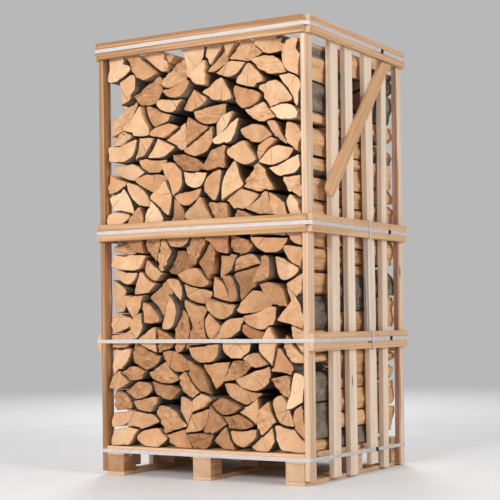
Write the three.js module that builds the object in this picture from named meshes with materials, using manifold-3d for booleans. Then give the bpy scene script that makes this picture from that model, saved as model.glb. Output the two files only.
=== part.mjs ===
// A pallet of split beech firewood: a slatted crate on a block pallet, filled with three rows of
// logs whose sawn ends face the front and the rear, and held by white strapping.
// Millimetres, +Z up, +X to the right along the front, +Y towards the rear.
// The origin is on the ground under the middle of the crate.
import * as THREE from 'three';
import Module from 'manifold-3d';
import { mergeVertices } from 'three/addons/utils/BufferGeometryUtils.js';

const wasm = await Module();
wasm.setup();

// Driving dimensions of the crate
const HEIGHT = 2050;
const WIDTH = 1120; // across the outer faces of the posts
const DEPTH = 1000; // three rows of logs
const SEAT = 0.3; // clearance between pieces that touch

// Pallet, from the ground up
const RUNNER_THICKNESS = 18;
const BLOCK_HEIGHT = 78;
const STRINGER_THICKNESS = 20;
const DECK_THICKNESS = 22;
const LINE_WIDTH = 95; // runners, blocks and stringers
const END_BLOCK_LENGTH = 100;
const MIDDLE_BLOCK_LENGTH = 146;
const DECK_BOARDS = 7;
const DECK_BOARD_WIDTH = 100;

// Side frames
const POST_THICKNESS = 26;
const POST_WIDTH = 60;
const UPRIGHT_TOP = HEIGHT - 9;
const UPRIGHT_TOP_STEP = 3; // they end at slightly different heights
const RAIL_THICKNESS = 23;
const TOP_RAIL = [1973, HEIGHT];
const MIDDLE_RAIL = [1107, 1187];
const LOWER_RAIL = [588, 669];
const BRACE_THICKNESS = 20;
const BRACE_WIDTH = 72;

// Strapping
const STRAP_WIDTH = 17;
const STRAP_THICKNESS = 0.9;
const STRAP_CLEARANCE = 0.5;
const BUCKLE_LENGTH = 27;
const BUCKLE_HEIGHT = 20;
const BUCKLE_THICKNESS = 3.5;

// Firewood
const LOG_INSET = 4; // log ends behind the front of the posts, at the least
const LOG_STAGGER = 32;
const ROW_FACE_INSET = 64; // the body of a row behind the front of the posts
const ROW_PARTING = 167; // half the depth of the middle row, with its share of the gap
const PILE_HALF_WIDTH = WIDTH / 2 - POST_THICKNESS - 2;
// Heights of the top of the pile: [from this X to the right, height]
const PILE_TOPS = [[-Infinity, 1990], [-195, 1950], [-120, 1990], [395, 1954]];
const GAP_AT_LEFT = { right: -460, bottom: 1696, top: 1866 }; // beside the logs of the front row
const DEEPER_AT_LEFT = { right: -422, depth: 26 }; // log ends between the lower and middle rails

const RUNNER_TOP = RUNNER_THICKNESS;
const BLOCK_TOP = RUNNER_TOP + BLOCK_HEIGHT;
const STRINGER_TOP = BLOCK_TOP + STRINGER_THICKNESS;
const DECK_TOP = STRINGER_TOP + DECK_THICKNESS;
const POST_OUTER = WIDTH / 2;
const POST_INNER = POST_OUTER - POST_THICKNESS;
const FRONT = -DEPTH / 2;
const REAR = DEPTH / 2;
const RAIL_INNER = POST_OUTER + SEAT;
const RAIL_OUTER = RAIL_INNER + RAIL_THICKNESS;

const crate = new THREE.Group();

const FINISHES = {
  pale_board: { color: 0xe4c49c, roughness: 0.75, metalness: 0 },
  tan_board: { color: 0xcfa06a, roughness: 0.75, metalness: 0 },
  brace_board: { color: 0xc99a62, roughness: 0.78, metalness: 0 },
  pallet_wood: { color: 0xd0aa80, roughness: 0.8, metalness: 0 },
  firewood: { color: 0xd2a478, roughness: 0.85, metalness: 0 },
  strapping: { color: 0xe8e4e6, roughness: 0.45, metalness: 0 },
  buckle: { color: 0x1c1c1e, roughness: 0.4, metalness: 0.6 },
};

function place(name, geometry, finish) {
  const mesh = new THREE.Mesh(geometry, new THREE.MeshStandardMaterial(FINISHES[finish]));
  mesh.name = name;
  crate.add(mesh);
  return mesh;
}

// A board or block between two corners
function board(name, finish, low, high) {
  const size = high.map((value, axis) => value - low[axis]);
  const mesh = place(name, new THREE.BoxGeometry(...size), finish);
  mesh.position.set(...low.map((value, axis) => value + size[axis] / 2));
  return mesh;
}

// An outline [[a, b], ...] drawn on the plane across an axis and extruded along it
const ACROSS = {
  x: [new THREE.Vector3(0, 1, 0), new THREE.Vector3(0, 0, 1), new THREE.Vector3(1, 0, 0)],
  y: [new THREE.Vector3(1, 0, 0), new THREE.Vector3(0, 0, 1), new THREE.Vector3(0, -1, 0)],
  z: [new THREE.Vector3(1, 0, 0), new THREE.Vector3(0, 1, 0), new THREE.Vector3(0, 0, 1)],
};
function extrude(axis, outline, from, to, holes = []) {
  const points = (list) => list.map(([a, b]) => new THREE.Vector2(a, b));
  const shape = new THREE.Shape(points(outline));
  shape.holes = holes.map((hole) => new THREE.Path(points(hole)));
  const geometry = new THREE.ExtrudeGeometry(shape, { depth: to - from, bevelEnabled: false });
  geometry.applyMatrix4(new THREE.Matrix4().makeBasis(...ACROSS[axis]));
  const start = { x: [from, 0, 0], y: [0, to, 0], z: [0, 0, from] };
  geometry.translate(...start[axis]);
  return geometry;
}

// Pallet: three lines of runner, blocks and stringer, with the deck boards across them
const LINE_GAP = 1.5; // between an outer line and the posts
const LINES = [
  ['left', LINE_GAP - POST_INNER + LINE_WIDTH / 2],
  ['middle', 0],
  ['right', POST_INNER - LINE_GAP - LINE_WIDTH / 2],
];
const BLOCK_PLACES = [
  ['front', FRONT, FRONT + END_BLOCK_LENGTH],
  ['middle', -MIDDLE_BLOCK_LENGTH / 2, MIDDLE_BLOCK_LENGTH / 2],
  ['rear', REAR - END_BLOCK_LENGTH, REAR],
];

function addLine(line, x) {
  const low = x - LINE_WIDTH / 2;
  const high = x + LINE_WIDTH / 2;
  board(`runner_${line}`, 'pallet_wood', [low, FRONT, 0], [high, REAR, RUNNER_TOP]);
  for (const [where, from, to] of BLOCK_PLACES) {
    const name = `block_${where}_${line}`;
    const bottom = RUNNER_TOP + SEAT;
    const top = BLOCK_TOP - SEAT;
    if (name === 'block_front_left') {
      place(name, wanedBlock(from, to, bottom, top, low, high), 'pallet_wood');
    } else {
      board(name, 'pallet_wood', [low, from, bottom], [high, to, top]);
    }
  }
  board(`stringer_${line}`, 'pallet_wood', [low, FRONT, BLOCK_TOP], [high, REAR, STRINGER_TOP]);
}

// A block cut from the outside of the trunk, whose upper inner edge is missing
function wanedBlock(from, to, bottom, top, low, high) {
  const WANE_LENGTH = 52;
  const WANE_DROP = 32;
  const outline = [[from, bottom], [to, bottom], [to, top - WANE_DROP]];
  outline.push([to - WANE_LENGTH, top], [from, top]);
  return extrude('x', outline, low, high);
}

function addDeck() {
  const DECK_GAP = 0.5; // between the deck and the posts
  const half = POST_INNER - DECK_GAP;
  const pitch = (DEPTH - DECK_BOARD_WIDTH) / (DECK_BOARDS - 1);
  for (let i = 0; i < DECK_BOARDS; i += 1) {
    const y = FRONT + i * pitch;
    const low = [-half, y, STRINGER_TOP + SEAT];
    board(`deck_board_${i + 1}`, 'pallet_wood', low, [half, y + DECK_BOARD_WIDTH, DECK_TOP]);
  }
}

// Posts and slats of the side frames: width, middle at the bottom and at the top, lower end
const UPRIGHTS = {
  right: [
    ['post', 'front', POST_WIDTH, FRONT + POST_WIDTH / 2, FRONT + POST_WIDTH / 2, 22],
    ['slat', '1', 72, -234, -226, 15],
    ['slat', '2', 72, -64, -82, 6],
    ['slat', '3', 75, 155, 124, 37],
    ['slat', '4', 56, 285, 298, 7],
    ['post', 'rear', POST_WIDTH, REAR - POST_WIDTH / 2, REAR - POST_WIDTH / 2, 5],
  ],
  left: [
    ['post', 'front', POST_WIDTH, FRONT + POST_WIDTH / 2, FRONT + POST_WIDTH / 2, 18],
    ['slat', '1', 74, -262, -270, 24],
    ['slat', '2', 66, -88, -70, 12],
    ['slat', '3', 72, 118, 130, 31],
    ['slat', '4', 70, 292, 280, 9],
    ['post', 'rear', POST_WIDTH, REAR - POST_WIDTH / 2, REAR - POST_WIDTH / 2, 12],
  ],
};
const SIDES = [['left', -1], ['right', 1]];

function addUprights(side, sign) {
  UPRIGHTS[side].forEach(([kind, label, width, atBottom, atTop, bottom], index) => {
    const top = UPRIGHT_TOP - UPRIGHT_TOP_STEP * (index % 3);
    const length = top - bottom;
    const x = sign * (POST_OUTER - POST_THICKNESS / 2);
    const name = kind === 'post' ? `post_${label}_${side}` : `slat_${side}_${label}`;
    const mesh = place(name, new THREE.BoxGeometry(POST_THICKNESS, width, length), 'pale_board');
    mesh.position.set(x, (atBottom + atTop) / 2, (top + bottom) / 2);
    mesh.rotation.x = -Math.atan2(atTop - atBottom, length);
  });
}

// Side rails are nailed outside the uprights, end rails on the front and rear edges of the posts
function addRails() {
  const sideRails = [['top', TOP_RAIL], ['middle', MIDDLE_RAIL], ['lower', LOWER_RAIL]];
  for (const [side, sign] of SIDES) {
    const low = Math.min(sign * RAIL_INNER, sign * RAIL_OUTER);
    for (const [level, [bottom, top]] of sideRails) {
      const name = `rail_${level}_${side}`;
      board(name, 'tan_board', [low, FRONT, bottom], [low + RAIL_THICKNESS, REAR, top]);
    }
  }
  for (const [end, edge] of [['front', FRONT - SEAT - RAIL_THICKNESS], ['rear', REAR + SEAT]]) {
    for (const [level, [bottom, top]] of sideRails.slice(0, 2)) {
      const low = [-POST_OUTER, edge, bottom];
      board(`rail_${level}_${end}`, 'tan_board', low, [POST_OUTER, edge + RAIL_THICKNESS, top]);
    }
  }
}

// The brace leans forward outside the right slats, from the top rail down to the first slat
function addBrace() {
  const SLOPE = THREE.MathUtils.degToRad(48);
  const MIDDLE_Z = 1641; // where its middle line crosses the middle of the side
  const UPPER_LEFT = 406; // lengths along the board from there
  const UPPER_RIGHT = 450;
  const LOWER_END = -478;
  const LOWER_RADIUS = 24;
  const half = BRACE_WIDTH / 2;
  const turn = (along, across) => [
    along * Math.cos(SLOPE) - across * Math.sin(SLOPE),
    MIDDLE_Z + along * Math.sin(SLOPE) + across * Math.cos(SLOPE),
  ];
  const outline = [turn(UPPER_RIGHT, -half), turn(UPPER_LEFT, half)];
  const corners = [[half - LOWER_RADIUS, 90], [LOWER_RADIUS - half, 180]];
  for (const [across, start] of corners) {
    for (let step = 0; step <= 3; step += 1) {
      const angle = THREE.MathUtils.degToRad(start + step * 30);
      const along = LOWER_END + LOWER_RADIUS + LOWER_RADIUS * Math.cos(angle);
      outline.push(turn(along, across + LOWER_RADIUS * Math.sin(angle)));
    }
  }
  place('brace_right', extrude('x', outline, RAIL_INNER, RAIL_INNER + BRACE_THICKNESS), 'brace_board');
}

// A convex outline, drawn anticlockwise, moved outwards by a distance
function offset(outline, distance) {
  return outline.map((corner, i) => {
    const before = outline[(i + outline.length - 1) % outline.length];
    const after = outline[(i + 1) % outline.length];
    const [ax, ay] = outwards(before, corner);
    const [bx, by] = outwards(corner, after);
    const scale = distance / (1 + ax * bx + ay * by);
    return [corner[0] + (ax + bx) * scale, corner[1] + (ay + by) * scale];
  });
}
function outwards([ax, ay], [bx, by]) {
  const length = Math.hypot(bx - ax, by - ay);
  return [(by - ay) / length, (ax - bx) / length];
}

// Straps go round the crate on the pieces that stand out furthest at their height
const RAIL_FRONT = DEPTH / 2 + SEAT + RAIL_THICKNESS;
const AROUND_RAILS = [
  [POST_OUTER, -RAIL_FRONT], [RAIL_OUTER, FRONT], [RAIL_OUTER, REAR], [POST_OUTER, RAIL_FRONT],
  [-POST_OUTER, RAIL_FRONT], [-RAIL_OUTER, REAR], [-RAIL_OUTER, FRONT], [-POST_OUTER, -RAIL_FRONT],
];
const AROUND_SIDE_RAILS = rectangle(-RAIL_OUTER, FRONT, RAIL_OUTER, REAR);
const AROUND_POSTS = rectangle(-POST_OUTER, FRONT, POST_OUTER, REAR);
function rectangle(left, low, right, high) {
  return [[left, low], [right, low], [right, high], [left, high]];
}

// Name, what it goes round, height of its middle, fall from front to rear, place of its buckle
const STRAPS = [
  ['top', AROUND_RAILS, 2012, 0, 233],
  ['middle', AROUND_RAILS, 1147, 0, 293],
  ['lower', AROUND_SIDE_RAILS, 633, 0, 297],
  ['bottom', AROUND_POSTS, 107, 20, 174],
];

function addStraps() {
  for (const [name, route, height, fall, buckle] of STRAPS) {
    const inner = offset(route, STRAP_CLEARANCE);
    const outer = offset(route, STRAP_CLEARANCE + STRAP_THICKNESS);
    const ring = extrude('z', outer, -STRAP_WIDTH / 2, STRAP_WIDTH / 2, [inner]);
    const strap = place(`strap_${name}`, ring, 'strapping');
    strap.position.z = height;
    strap.rotation.x = -Math.atan2(fall, DEPTH);
    const face = route === AROUND_POSTS ? POST_OUTER : RAIL_OUTER;
    const x = face + STRAP_CLEARANCE + STRAP_THICKNESS + SEAT;
    addBuckle(`buckle_${name}`, x, buckle, height - (fall * buckle) / DEPTH);
  }
}

// A wire buckle: a small plate with two slots for the ends of the strap
function addBuckle(name, x, y, z) {
  const CORNER = 4;
  const SLOT = [4, 8.5]; // from the middle of the buckle
  const RIM = 3;
  const along = BUCKLE_LENGTH / 2;
  const up = BUCKLE_HEIGHT / 2;
  const outline = [
    [CORNER - along, -up], [along - CORNER, -up], [along, CORNER - up], [along, up - CORNER],
    [along - CORNER, up], [CORNER - along, up], [-along, up - CORNER], [-along, CORNER - up],
  ];
  const slotEnd = up - RIM;
  let plate = toSolid(extrude('x', outline, 0, BUCKLE_THICKNESS));
  for (const [from, to] of [[-SLOT[1], -SLOT[0]], SLOT]) {
    const slot = rectangle(from, -slotEnd, to, slotEnd);
    plate = plate.subtract(toSolid(extrude('x', slot, -1, BUCKLE_THICKNESS + 1)));
  }
  const buckle = place(name, toGeometry(plate), 'buckle');
  buckle.position.set(x, y, z);
}

// A short strap ties the right middle and lower rails together between two slats
function addTie() {
  const MIDDLE_Y = 86;
  const LEAN = 24; // further to the rear at the bottom
  const SLACK = 1; // it lies a little off the rails' edges because it leans
  const clearance = STRAP_CLEARANCE + STRAP_THICKNESS + SEAT;
  const route = rectangle(RAIL_INNER, LOWER_RAIL[0], RAIL_OUTER + clearance, MIDDLE_RAIL[1]);
  const middleZ = (LOWER_RAIL[0] + MIDDLE_RAIL[1]) / 2;
  const centred = route.map(([x, z]) => [x, z - middleZ]);
  const inner = offset(centred, SLACK);
  const outer = offset(centred, SLACK + STRAP_THICKNESS);
  const ring = extrude('y', outer, -STRAP_WIDTH / 2, STRAP_WIDTH / 2, [inner]);
  const tie = place('strap_tie_right', ring, 'strapping');
  tie.position.set(0, MIDDLE_Y, middleZ);
  tie.rotation.x = Math.atan2(LEAN, MIDDLE_RAIL[1] - LOWER_RAIL[0]);
}

// Firewood. Each log's end is the outline of a piece split from a round log, and the logs of a row
// settle on the deck and on each other before their ends are given their depth.
const SPLITS = [
  { share: 0.3, spread: 180, radius: [61, 88] }, // halves
  { share: 0.22, spread: 125, radius: [75, 106] }, // thirds
  { share: 0.3, spread: 90, radius: [94, 128] }, // quarters
  { share: 0.18, spread: 62, radius: [110, 143] }, // sixths
];
const LAYERS = 23;
const LOGS_ACROSS = 9;
const LAYER_PITCH = 108; // before they settle
const SETTLE_STEPS = 600;
const FALL_STEP = 3;
const SLOWEST_FALL = 0.02; // as a share of that
const SHAKE = 0.05; // radians
const SHAKE_SHIFT = 60; // sideways, per radian
const LAID_TURN = 0.7; // radians either way, for a log laid bark down
const CLOSE_LAYERS = 300; // logs further apart in height can't touch
const STEEP = 0.3;
const RELAX = 0.9;

function makeRandom(seed) {
  let state = seed >>> 0;
  return () => {
    state = (state + 0x6d2b79f5) >>> 0;
    let mixed = Math.imul(state ^ (state >>> 15), state | 1);
    mixed ^= mixed + Math.imul(mixed ^ (mixed >>> 7), mixed | 61);
    return ((mixed ^ (mixed >>> 14)) >>> 0) / 4294967296;
  };
}

function between(random, low, high) {
  return low + (high - low) * random();
}

function splitOutline(random) {
  let pick = random();
  const kind = SPLITS.find(({ share }) => {
    pick -= share;
    return pick < 0;
  }) ?? SPLITS[0];
  const radius = between(random, ...kind.radius);
  const half = THREE.MathUtils.degToRad(kind.spread * between(random, 0.45, 0.575));
  const steps = Math.max(2, Math.round((2 * half) / THREE.MathUtils.degToRad(38)));
  const squash = between(random, 0.86, 1);
  const heartwoodGone = random() < 0.3 && kind.spread < 100;
  const outline = [];
  if (heartwoodGone) {
    const tip = radius * between(random, 0.2, 0.4);
    outline.push([tip * Math.cos(half), tip * Math.sin(half)]);
    outline.push([tip * Math.cos(half), -tip * Math.sin(half)]);
  } else if (kind.spread < 150) {
    outline.push([0, 0]);
  }
  for (let step = 0; step <= steps; step += 1) {
    const angle = -half + (2 * half * step) / steps;
    outline.push([radius * squash * Math.cos(angle), radius * Math.sin(angle)]);
  }
  return outline;
}

function areaAndCentre(outline) {
  let doubled = 0;
  let x = 0;
  let z = 0;
  outline.forEach((a, i) => {
    const b = outline[(i + 1) % outline.length];
    const cross = a[0] * b[1] - b[0] * a[1];
    doubled += cross;
    x += (a[0] + b[0]) * cross;
    z += (a[1] + b[1]) * cross;
  });
  return { area: doubled / 2, centre: [x / (3 * doubled), z / (3 * doubled)] };
}

function makeLog(random, layer, column) {
  const TURN_INERTIA = 0.3; // of a split outline, over its area and the square of its size
  const raw = splitOutline(random);
  const { area, centre } = areaAndCentre(raw);
  const shape = raw.map(([x, z]) => [x - centre[0], z - centre[1]]);
  const size = Math.max(...shape.map(([x, z]) => Math.hypot(x, z)));
  const barkDown = random() < 0.65;
  const columnPitch = (2 * PILE_HALF_WIDTH) / LOGS_ACROSS;
  const laid = between(random, -LAID_TURN, LAID_TURN) - Math.PI / 2;
  const tumbled = between(random, 0, 2 * Math.PI);
  return {
    shape,
    normals: shape.map((corner, i) => outwards(corner, shape[(i + 1) % shape.length])),
    outline: shape.map(() => [0, 0]),
    faces: shape.map(() => ({ nx: 0, nz: 0 })),
    size,
    give: 1 / area,
    turnGive: 1 / (TURN_INERTIA * area * size * size),
    x: -PILE_HALF_WIDTH + (column + 0.5 + between(random, -0.25, 0.25)) * columnPitch,
    z: DECK_TOP + (layer + 0.5 + between(random, -0.2, 0.2)) * LAYER_PITCH,
    turn: barkDown ? laid : tumbled,
  };
}

function update(log) {
  const cos = Math.cos(log.turn);
  const sin = Math.sin(log.turn);
  for (let i = 0; i < log.shape.length; i += 1) {
    const [x, z] = log.shape[i];
    log.outline[i][0] = log.x + cos * x - sin * z;
    log.outline[i][1] = log.z + sin * x + cos * z;
    const [nx, nz] = log.normals[i];
    log.faces[i].nx = cos * nx - sin * nz;
    log.faces[i].nz = sin * nx + cos * nz;
  }
}

// How far an outline reaches in a direction
function reach(outline, nx, nz) {
  let far = -Infinity;
  for (const [x, z] of outline) far = Math.max(far, x * nx + z * nz);
  return far;
}

// The stretch of an outline that faces a direction, measured across it
function facing(outline, nx, nz, far) {
  const FLUSH = 1.5;
  let low = Infinity;
  let high = -Infinity;
  for (const [x, z] of outline) {
    const across = z * nx - x * nz;
    const flush = x * nx + z * nz > far - FLUSH;
    if (flush && across < low) low = across;
    if (flush && across > high) high = across;
  }
  return [low, high];
}

// Move and turn a log by a push at a point
function push(log, nx, nz, point, amount, give) {
  const arm = (point[0] - log.x) * nz - (point[1] - log.z) * nx;
  log.x += nx * amount * log.give * give;
  log.z += nz * amount * log.give * give;
  log.turn += arm * amount * log.turnGive * give;
  update(log);
}

// How easily a log gives way to a push at a point
function giveAt(log, nx, nz, point, give) {
  const arm = (point[0] - log.x) * nz - (point[1] - log.z) * nx;
  return give * (log.give + arm * arm * log.turnGive);
}

// The direction in which two logs overlap least: the faces' directions turn with their log
function contact(a, b) {
  const best = { gap: -Infinity, nx: 0, nz: 0 };
  for (let side = 0; side < 2; side += 1) {
    const one = side === 0 ? a : b;
    const other = side === 0 ? b : a;
    for (let i = 0; i < one.outline.length; i += 1) {
      const { nx, nz } = one.faces[i];
      const gap = -reach(other.outline, -nx, -nz) - (nx * one.outline[i][0] + nz * one.outline[i][1]);
      if (gap > best.gap) {
        best.gap = gap;
        best.nx = side === 0 ? nx : -nx;
        best.nz = side === 0 ? nz : -nz;
      }
      if (gap > 0) return best;
    }
  }
  return best;
}

function separate(a, b) {
  const { gap, nx, nz } = contact(a, b);
  if (gap > 0) return;
  const SUPPORTED = 0.25; // a log gives less to one that it carries
  const farA = reach(a.outline, nx, nz);
  const farB = reach(b.outline, -nx, -nz);
  const [lowA, highA] = facing(a.outline, nx, nz, farA);
  const [negHighB, negLowB] = facing(b.outline, -nx, -nz, farB);
  const across = (Math.max(lowA, -negLowB) + Math.min(highA, -negHighB)) / 2;
  const along = (farA - farB) / 2;
  const point = [nx * along - nz * across, nz * along + nx * across];
  const giveA = nz > STEEP ? SUPPORTED : 1;
  const giveB = nz < -STEEP ? SUPPORTED : 1;
  const give = giveAt(a, nx, nz, point, giveA) + giveAt(b, nx, nz, point, giveB);
  const amount = (-RELAX * gap) / give;
  push(a, -nx, -nz, point, amount, giveA);
  push(b, nx, nz, point, amount, giveB);
}

function holdInside(log) {
  const walls = [[0, -1, -DECK_TOP - SEAT], [1, 0, PILE_HALF_WIDTH], [-1, 0, PILE_HALF_WIDTH]];
  for (const [nx, nz, limit] of walls) {
    const far = reach(log.outline, nx, nz);
    if (far > limit) {
      const [low, high] = facing(log.outline, nx, nz, far);
      const across = (low + high) / 2;
      const point = [nx * far - nz * across, nz * far + nx * across];
      push(log, -nx, -nz, point, (far - limit) / giveAt(log, nx, nz, point, 1), 1);
    }
  }
}

function settleOnce(logs) {
  logs.sort((a, b) => a.z - b.z);
  logs.forEach((a, i) => {
    for (let j = i + 1; j < logs.length && logs[j].z - a.z < CLOSE_LAYERS; j += 1) {
      const b = logs[j];
      if (Math.hypot(a.x - b.x, a.z - b.z) < a.size + b.size) separate(a, b);
    }
  });
  logs.forEach(holdInside);
}

function stackLogs(seed) {
  const PASSES = 3;
  const FALL_END = 0.85; // shares of the settling
  const SHAKE_END = 0.75;
  const SWELL_START = 0.8;
  const SWELL = 0.06; // the logs swell a little at the end and close up
  const SWELL_STEP = SWELL / ((1 - SWELL_START) * SETTLE_STEPS);
  const random = makeRandom(seed);
  const logs = [];
  for (let layer = 0; layer < LAYERS; layer += 1) {
    for (let column = 0; column < LOGS_ACROSS; column += 1) logs.push(makeLog(random, layer, column));
  }
  logs.forEach(update);
  for (let step = 0; step < SETTLE_STEPS; step += 1) {
    const done = step / SETTLE_STEPS;
    const fall = FALL_STEP * Math.max(SLOWEST_FALL, 1 - done / FALL_END);
    const shake = done < SHAKE_END && step % 3 === 0 ? SHAKE : 0;
    const swell = done > SWELL_START ? 1 + SWELL_STEP : 1;
    for (const log of logs) {
      log.z -= fall;
      log.turn += between(random, -shake, shake);
      log.x += SHAKE_SHIFT * between(random, -shake, shake);
      log.shape = log.shape.map(([x, z]) => [x * swell, z * swell]);
      log.size *= swell;
      update(log);
    }
    for (let pass = 0; pass < PASSES; pass += 1) settleOnce(logs);
  }
  return logs.map((log) => log.outline);
}

// The part of an outline where nx * x + nz * z is under a limit, without its very short edges
function cut(outline, nx, nz, limit) {
  const SHORT = 6;
  const kept = [];
  outline.forEach((corner, i) => {
    const after = outline[(i + 1) % outline.length];
    const here = nx * corner[0] + nz * corner[1] - limit;
    const there = nx * after[0] + nz * after[1] - limit;
    if (here <= 0) kept.push(corner);
    if (here * there < 0) {
      const share = here / (here - there);
      kept.push(corner.map((value, axis) => value + (after[axis] - value) * share));
    }
  });
  return kept.filter(([x, z], i) => {
    const [beforeX, beforeZ] = kept[(i + kept.length - 1) % kept.length];
    return Math.hypot(x - beforeX, z - beforeZ) > SHORT;
  });
}

// The pile ends under the top rails: logs that would reach higher are split flat, or left out
function levelTop(outlines) {
  const LEAST_HEIGHT = 36;
  return outlines.map((outline) => {
    const [x] = areaAndCentre(outline).centre;
    const [, top] = PILE_TOPS.findLast(([from]) => x > from);
    return cut(outline, 0, 1, top);
  }).filter((outline) => reach(outline, 0, 1) + reach(outline, 0, -1) > LEAST_HEIGHT);
}

// Logs beside the gap at the left of the front row keep to the right of it
function leaveGap(outlines) {
  const { right, bottom, top } = GAP_AT_LEFT;
  return outlines.map((outline) => {
    const [, z] = areaAndCentre(outline).centre;
    return z > bottom && z < top ? cut(outline, -1, 0, -right) : outline;
  }).filter((outline) => outline.length > 2);
}

function toSolid(geometry) {
  const bare = geometry.clone();
  bare.deleteAttribute('normal');
  bare.deleteAttribute('uv');
  const merged = mergeVertices(bare, 1e-4);
  return new wasm.Manifold(new wasm.Mesh({
    numProp: 3,
    vertProperties: new Float32Array(merged.attributes.position.array),
    triVerts: new Uint32Array(merged.index.array),
  }));
}

function toGeometry(solid) {
  const { vertProperties, triVerts } = solid.getMesh();
  const geometry = new THREE.BufferGeometry();
  geometry.setAttribute('position', new THREE.BufferAttribute(vertProperties, 3));
  geometry.setIndex(new THREE.BufferAttribute(triVerts, 1));
  geometry.computeVertexNormals();
  return geometry;
}

function recess([x, z]) {
  const beside = x < DEEPER_AT_LEFT.right;
  return beside && z > LOWER_RAIL[1] && z < MIDDLE_RAIL[0] ? DEEPER_AT_LEFT.depth : 0;
}

// A row as one solid: the body of the row, the log ends that stand out of its outer face, and the
// full length of the logs on top. The outer face is towards -Y, or +Y where sign is 1.
function logRow(name, outlines, sign, random, standOut, gap) {
  const CLOSER = -1.2; // log outlines are drawn in by this, so that no two only just touch
  const BITE = 10; // log ends reach this far into the body
  const ROW_GAP = 2; // between the body and the posts or the next row
  const bodyTop = Math.max(...outlines.map((outline) => -reach(outline, 0, -1))) + BITE;
  const outer = standOut ? DEPTH / 2 - ROW_FACE_INSET : ROW_PARTING - ROW_GAP;
  const inner = standOut ? ROW_PARTING : ROW_GAP - ROW_PARTING;
  const span = (from, to) => (sign < 0 ? [-to, -from] : [from, to]);
  const half = PILE_HALF_WIDTH - ROW_GAP;
  const body = rectangle(-half, DECK_TOP + 2 * SEAT, half, bodyTop);
  let solid = toSolid(extrude('y', body, ...span(inner, outer)));
  if (gap) {
    const beside = rectangle(-PILE_HALF_WIDTH, gap.bottom, gap.right - ROW_GAP, gap.top);
    solid = solid.subtract(toSolid(extrude('y', beside, ...span(inner - BITE, outer + BITE))));
  }
  for (const outline of outlines) {
    const depth = random() ** 2;
    const onTop = reach(outline, 0, 1) > bodyTop;
    const end = DEPTH / 2 - LOG_INSET - LOG_STAGGER * depth - recess(areaAndCentre(outline).centre);
    if (standOut || onTop) {
      const from = onTop ? inner : outer - BITE;
      const log = extrude('y', offset(outline, CLOSER), ...span(from, standOut ? end : outer));
      solid = solid.add(toSolid(log));
    }
  }
  place(name, toGeometry(solid), 'firewood');
}

function mirrored(outlines) {
  return outlines.map((outline) => outline.map(([x, z]) => [-x, z]).reverse());
}

function addFirewood() {
  const FRONT_SEED = 11;
  const REAR_SEED = 7;
  const front = stackLogs(FRONT_SEED);
  const rear = stackLogs(REAR_SEED);
  const random = makeRandom(FRONT_SEED + REAR_SEED);
  logRow('logs_front_row', leaveGap(levelTop(front)), -1, random, true, GAP_AT_LEFT);
  logRow('logs_middle_row', levelTop(mirrored(front)), -1, random, false, null);
  logRow('logs_rear_row', levelTop(rear), 1, random, true, null);
}

for (const [line, x] of LINES) addLine(line, x);
addDeck();
for (const [side, sign] of SIDES) addUprights(side, sign);
addRails();
addBrace();
addStraps();
addTie();
addFirewood();

export default crate;
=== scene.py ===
"""Looks of a crate of split beech firewood on a block pallet.

Metres, in the frame's coordinates: +Z up, +X to the right along the front, +Y from the front to the
rear. Boards, logs and straps are rebuilt from the frame's solids that they stand for. Each carries
its own grain coordinates, so that the wood materials run along every board and every log.
"""

import math
import random

import bmesh
import bpy
import numpy as np
from mathutils import Matrix, Vector, noise


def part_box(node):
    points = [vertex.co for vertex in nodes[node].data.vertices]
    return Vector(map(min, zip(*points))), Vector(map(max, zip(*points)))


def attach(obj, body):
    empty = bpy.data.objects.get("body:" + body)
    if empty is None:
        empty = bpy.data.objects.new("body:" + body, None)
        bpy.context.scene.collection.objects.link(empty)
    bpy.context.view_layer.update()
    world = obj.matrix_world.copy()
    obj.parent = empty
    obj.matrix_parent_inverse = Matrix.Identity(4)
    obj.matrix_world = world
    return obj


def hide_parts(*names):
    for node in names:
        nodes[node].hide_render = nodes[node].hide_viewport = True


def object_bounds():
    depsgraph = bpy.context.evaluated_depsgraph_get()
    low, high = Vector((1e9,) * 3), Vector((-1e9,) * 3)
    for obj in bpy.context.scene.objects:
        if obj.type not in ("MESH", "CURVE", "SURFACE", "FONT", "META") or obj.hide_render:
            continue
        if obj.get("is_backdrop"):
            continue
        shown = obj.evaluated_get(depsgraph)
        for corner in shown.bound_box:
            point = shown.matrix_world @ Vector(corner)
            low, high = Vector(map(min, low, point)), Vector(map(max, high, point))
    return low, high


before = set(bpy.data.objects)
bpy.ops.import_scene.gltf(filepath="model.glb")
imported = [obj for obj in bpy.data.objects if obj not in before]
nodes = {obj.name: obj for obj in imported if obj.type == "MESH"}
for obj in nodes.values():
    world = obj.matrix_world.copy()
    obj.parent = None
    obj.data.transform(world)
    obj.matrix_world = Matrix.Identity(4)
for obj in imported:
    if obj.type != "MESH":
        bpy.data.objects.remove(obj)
cad_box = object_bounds()
MM = 0.001

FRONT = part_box("post_front_right")[0].y
POST_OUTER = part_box("post_front_right")[1].x
RAIL_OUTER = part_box("rail_top_right")[1].x
ROW_PARTING = -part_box("logs_front_row")[1].y
DECK_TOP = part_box("deck_board_1")[1].z
LOWER_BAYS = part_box("rail_middle_front")[1].z  # the wood below this height is rougher and darker
BACKDROP = (0.48, 0.48, 0.485, 1)


# Materials

def srgb(red, green, blue):
    """A colour as seen on a screen, 0 to 255, as linear red, green, blue and alpha."""
    def linear(value):
        value /= 255
        return value / 12.92 if value <= 0.04045 else ((value + 0.055) / 1.055) ** 2.4
    return (linear(red), linear(green), linear(blue), 1)


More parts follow.
